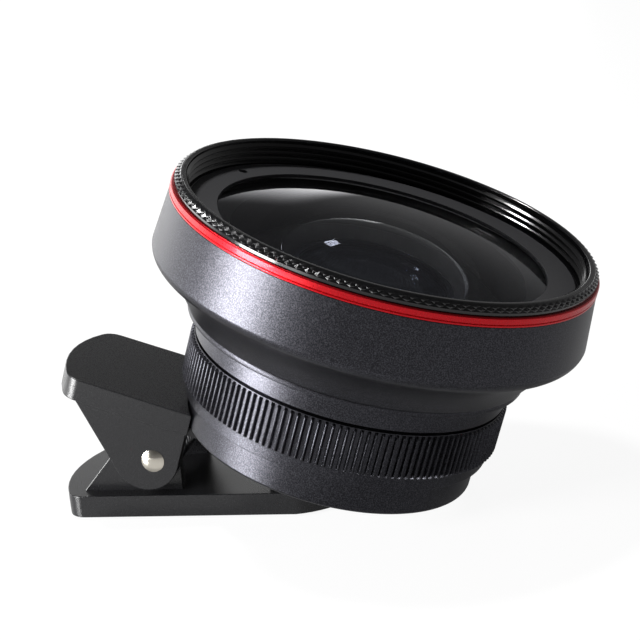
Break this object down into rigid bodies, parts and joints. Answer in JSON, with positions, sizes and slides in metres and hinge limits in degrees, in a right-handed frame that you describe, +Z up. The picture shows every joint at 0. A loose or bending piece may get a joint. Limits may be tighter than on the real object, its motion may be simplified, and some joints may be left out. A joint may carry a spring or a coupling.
{
  "type": "clip-on phone lens",
  "caption": "Wide angle lens unit on a macro unit, screwed to a sprung clothes-peg clip that grips a phone by its edge.",
  "frame": {"origin": "on the underside of the lower lever, on the middle plane, straight below the hinge pin", "axes": "+X along the clip from its finger end towards the lens, +Y across the clip, +Z up, away from the face it lies on"},
  "size_m": [0.0682, 0.0534, 0.0434],
  "materials": {
    "black_abs": "moulded black ABS, fine matte with a slight sheen",
    "pad_rubber": "soft matte black rubber",
    "nickel": "polished nickel plate",
    "spring_steel": "bright drawn spring steel wire",
    "black_anodised": "bead blasted and black anodised aluminium",
    "gloss_anodised": "turned and glossy black anodised aluminium",
    "red_anodised": "glossy red anodised aluminium",
    "satin_black": "satin black anodised aluminium",
    "coated_glass": "polished optical glass with a dark multilayer coating"
  },
  "bodies": {
    "lower_clip": {"lower_lever": "black_abs", "lower_pad": "pad_rubber", "hinge_pin": "nickel", "torsion_spring": "spring_steel"},
    "upper_clip": {"upper_lever": "black_abs", "upper_pad": "pad_rubber"},
    "macro_unit": {"macro_housing": "black_anodised", "macro_glass": "coated_glass", "macro_retaining_ring": "satin_black"},
    "wide_unit": {"rear_barrel": "black_anodised", "bell_housing": "black_anodised", "accent_ring": "red_anodised", "filter_ring": "gloss_anodised", "name_ring": "satin_black", "front_glass": "coated_glass", "light_baffle": "satin_black", "middle_glass": "coated_glass", "spacer_ring": "satin_black", "rear_glass": "coated_glass", "rear_retaining_ring": "satin_black"}
  },
  "joints": [
    {"name": "clip_hinge", "type": "hinge", "parent": "lower_clip", "child": "upper_clip", "pos_m": [0, 0, 0.00729], "axis": [0, -1, 0], "range_deg": [0, 30], "stiffness_Nm_per_rad": 0.01, "springref_deg": -14.32, "deforming": ["torsion_spring"]},
    {"name": "macro_lift", "type": "slide", "parent": "upper_clip", "child": "macro_unit", "axis": [0.342, 0, 0.9397], "range_m": [0, 0.01]},
    {"name": "wide_lift", "type": "slide", "parent": "macro_unit", "child": "wide_unit", "axis": [0.342, 0, 0.9397], "range_m": [0, 0.008]}
  ]
}
